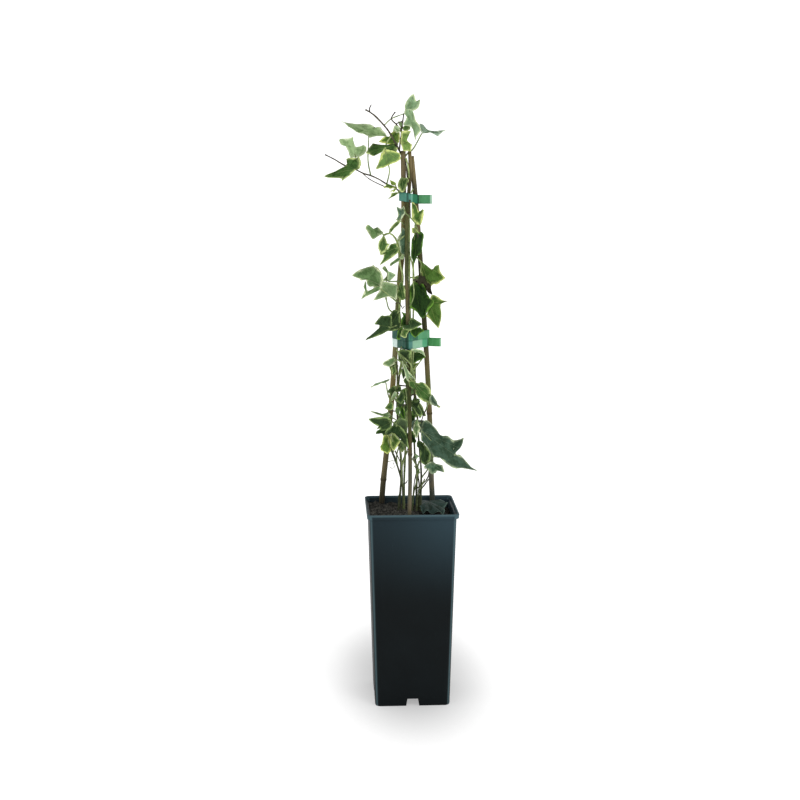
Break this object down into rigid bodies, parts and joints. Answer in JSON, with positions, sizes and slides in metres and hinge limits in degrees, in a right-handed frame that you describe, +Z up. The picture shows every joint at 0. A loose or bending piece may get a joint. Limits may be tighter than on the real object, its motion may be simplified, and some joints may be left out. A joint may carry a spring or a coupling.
{
  "type": "potted variegated english ivy",
  "caption": "Climbing ivy with cream-edged lobed leaves, tied with flat tapes to leaning bamboo canes in a tall square tapered nursery pot.",
  "frame": {"origin": "on the ground, in the middle of the pot's foot, at its round middle pad", "axes": "+Z up along the pot, -Y towards the picture's viewer, +X to the viewer's right"},
  "size_m": [0.178, 0.11, 0.7281],
  "materials": {
    "pot_plastic": "dark slate moulded plastic with a faint sheen",
    "compost": "moist crumbly compost of peat and bark",
    "bamboo": "dry brown-olive bamboo with joint rings",
    "tape": "smooth green binding tape, a little translucent",
    "ivy": "leaves dark green to grey-green with cream to yellow-green edges, paler beneath, on olive-brown stems"
  },
  "bodies": {
    "root": {"pot": "pot_plastic", "soil": "compost", "cane_left": "bamboo", "cane_front": "bamboo", "cane_right": "bamboo", "tie_upper": "tape", "tie_lower": "tape", "vine_top": "ivy", "vine_left": "ivy", "vine_right": "ivy", "vine_low": "ivy"}
  },
  "joints": []
}
